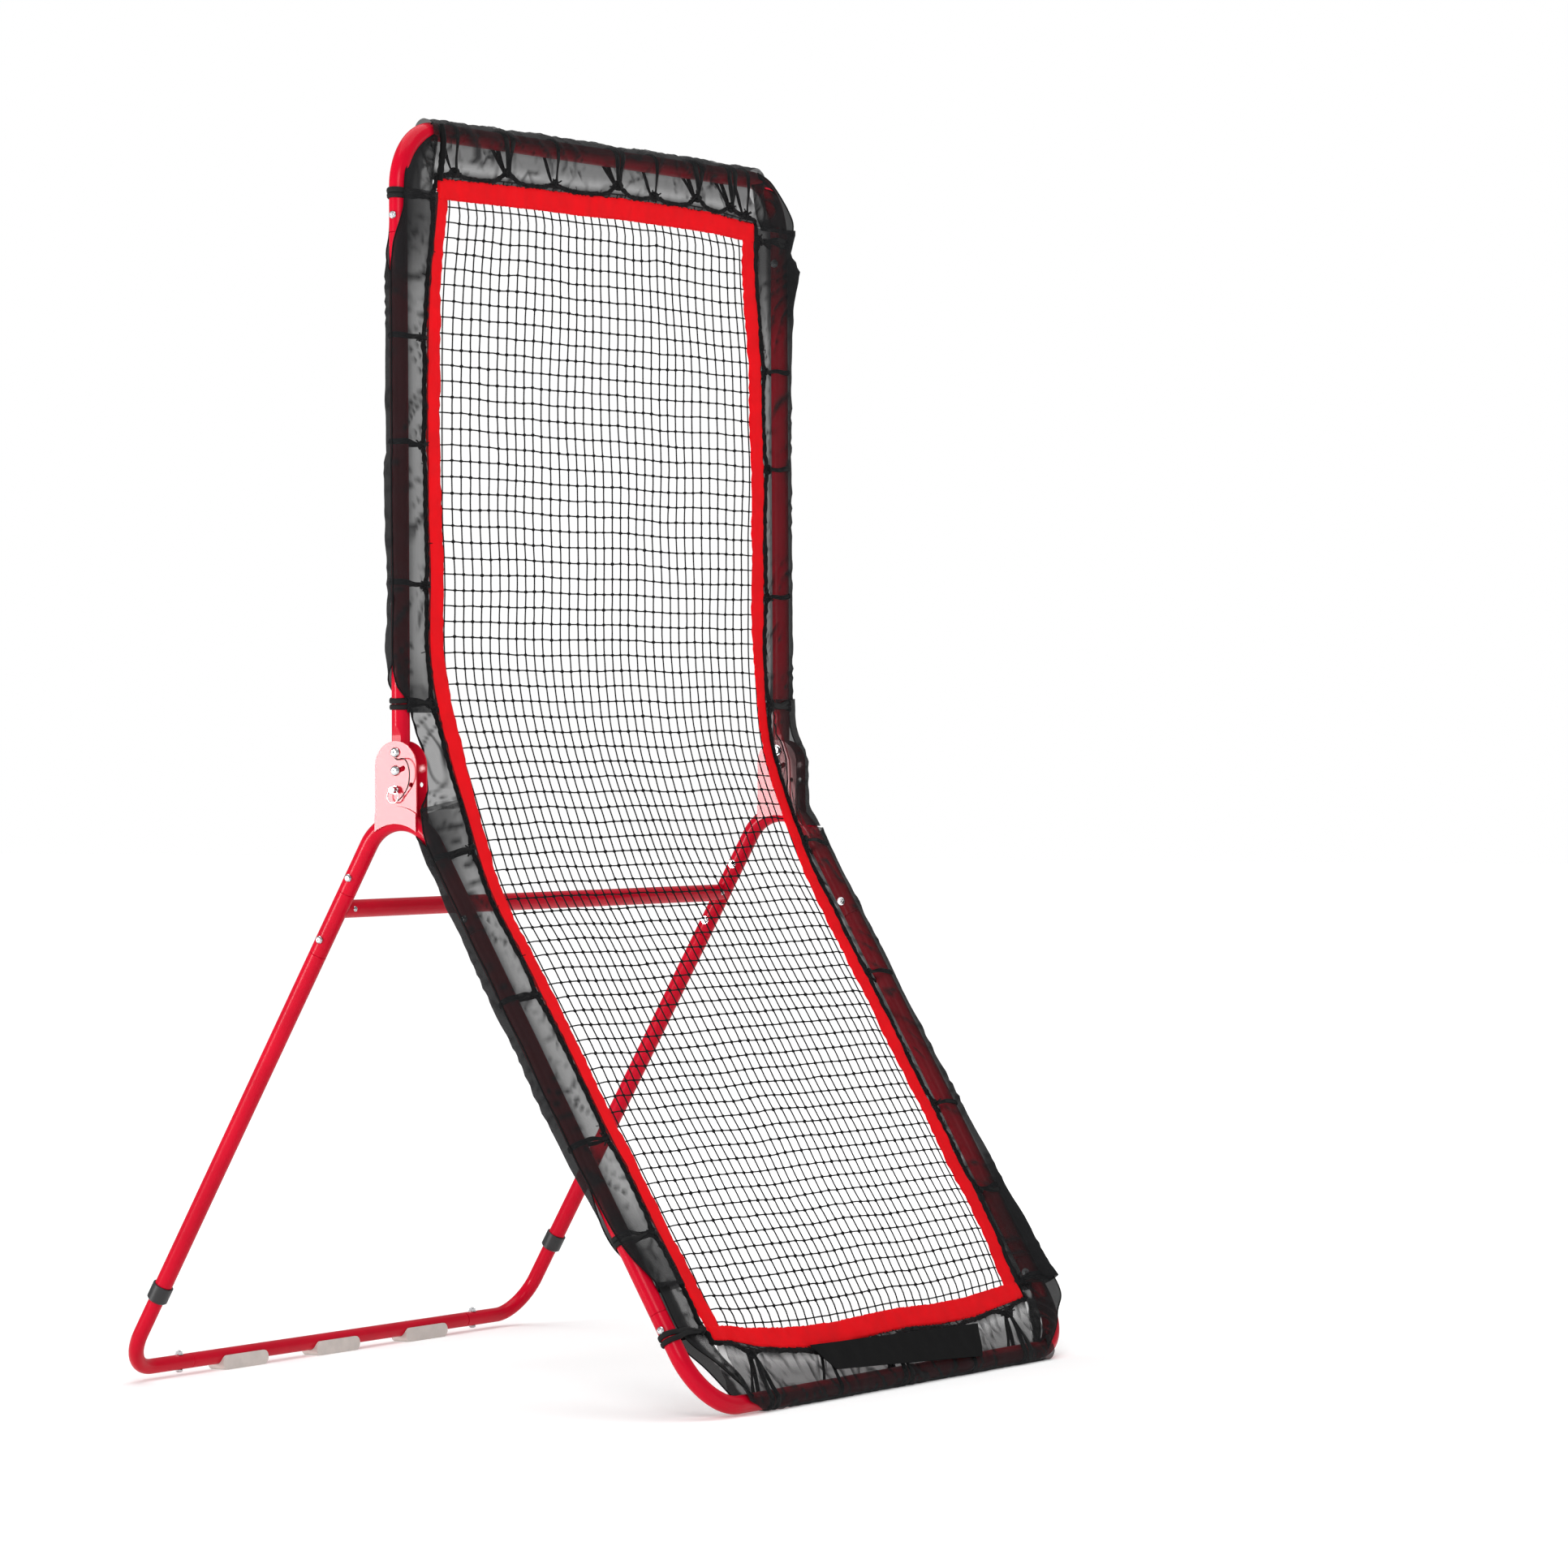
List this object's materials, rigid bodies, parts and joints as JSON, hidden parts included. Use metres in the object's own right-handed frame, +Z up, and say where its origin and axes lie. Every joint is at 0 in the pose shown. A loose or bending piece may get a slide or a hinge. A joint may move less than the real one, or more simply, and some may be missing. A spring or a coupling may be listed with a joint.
{
  "type": "pitch back rebounder",
  "caption": "Free-standing ball rebounder: a tubular A-frame stand carries a net panel in two halves, and the upper half tilts back on side hinges locked by pull pins.",
  "frame": {"origin": "on the ground, under the middle of the object's box", "axes": "+Z up, the net's front faces -Y, the width runs along X"},
  "size_m": [1.2468, 1.195, 2.1095],
  "materials": {
    "red_tube": "glossy red powder coat over steel tube",
    "bracket_plate": "glossy red powder coat over flat steel",
    "zinc_fastener": "bright zinc plate",
    "plated_pin": "bright plated steel",
    "mesh_sleeve": "thin black see-through mesh cloth",
    "webbing": "woven red polyester webbing with sewn edges",
    "net_cord": "knotted black nylon cord",
    "elastic": "black woven elastic",
    "wire": "thin coated steel wire rope",
    "foot_rubber": "matt pale grey rubber",
    "black_plastic": "fine moulded grain"
  },
  "bodies": {
    "stand": {"left_hinge_arch": "red_tube", "right_hinge_arch": "red_tube", "left_outer_hinge_plate": "bracket_plate", "left_inner_hinge_plate": "bracket_plate", "right_outer_hinge_plate": "bracket_plate", "right_inner_hinge_plate": "bracket_plate", "left_leg_coupler": "red_tube", "right_leg_coupler": "red_tube", "crossbar": "red_tube", "crossbar_screws": "zinc_fastener", "left_rear_leg": "red_tube", "right_rear_leg": "red_tube", "left_leg_collar": "black_plastic", "right_leg_collar": "black_plastic", "left_rear_foot_corner": "red_tube", "right_rear_foot_corner": "red_tube", "rear_foot_bar": "red_tube", "rear_foot_pads": "foot_rubber", "left_lower_side_tube": "red_tube", "right_lower_side_tube": "red_tube", "left_bottom_corner": "red_tube", "right_bottom_corner": "red_tube", "bottom_bar": "red_tube", "frame_bolts": "zinc_fastener", "frame_nuts": "zinc_fastener", "foot_bolts": "zinc_fastener", "foot_nuts": "zinc_fastener", "pivot_bolts": "zinc_fastener", "pivot_nuts": "zinc_fastener", "left_lower_sleeve": "mesh_sleeve", "right_lower_sleeve": "mesh_sleeve", "bottom_sleeve": "mesh_sleeve", "lower_net": "net_cord", "left_lower_webbing": "webbing", "right_lower_webbing": "webbing", "bottom_webbing": "webbing", "lower_elastics": "elastic", "left_lanyard": "wire", "right_lanyard": "wire"},
    "upper_frame": {"left_upper_side_tube": "red_tube", "right_upper_side_tube": "red_tube", "left_top_corner": "red_tube", "right_top_corner": "red_tube", "top_bar": "red_tube", "guide_bolts": "zinc_fastener", "guide_nuts": "zinc_fastener", "upper_frame_bolts": "zinc_fastener", "upper_frame_nuts": "zinc_fastener", "left_upper_sleeve": "mesh_sleeve", "right_upper_sleeve": "mesh_sleeve", "top_sleeve": "mesh_sleeve", "upper_net": "net_cord", "left_upper_webbing": "webbing", "right_upper_webbing": "webbing", "top_webbing": "webbing", "upper_elastics": "elastic"},
    "left_pin": {"left_lock_pin": "plated_pin"},
    "right_pin": {"right_lock_pin": "plated_pin"},
    "left_ring": {"left_pin_ring": "plated_pin"},
    "right_ring": {"right_pin_ring": "plated_pin"}
  },
  "joints": [
    {"name": "upper_frame_tilt", "type": "hinge", "parent": "stand", "child": "upper_frame", "pos_m": [0, 0.00209, 1.064], "axis": [-1, 0, 0], "range_deg": [0, 30]},
    {"name": "left_pin_pull", "type": "slide", "parent": "stand", "child": "left_pin", "axis": [-1, 0, 0], "range_m": [0, 0.0438]},
    {"name": "right_pin_pull", "type": "slide", "parent": "stand", "child": "right_pin", "axis": [1, 0, 0], "range_m": [0, 0.0438]},
    {"name": "left_ring_swing", "type": "hinge", "parent": "left_pin", "child": "left_ring", "pos_m": [-0.6184, 0.00209, 1.0025], "axis": [0, 1, 0], "range_deg": [0, 150]},
    {"name": "right_ring_swing", "type": "hinge", "parent": "right_pin", "child": "right_ring", "pos_m": [0.6184, 0.00209, 1.0025], "axis": [0, -1, 0], "range_deg": [0, 150]}
  ]
}
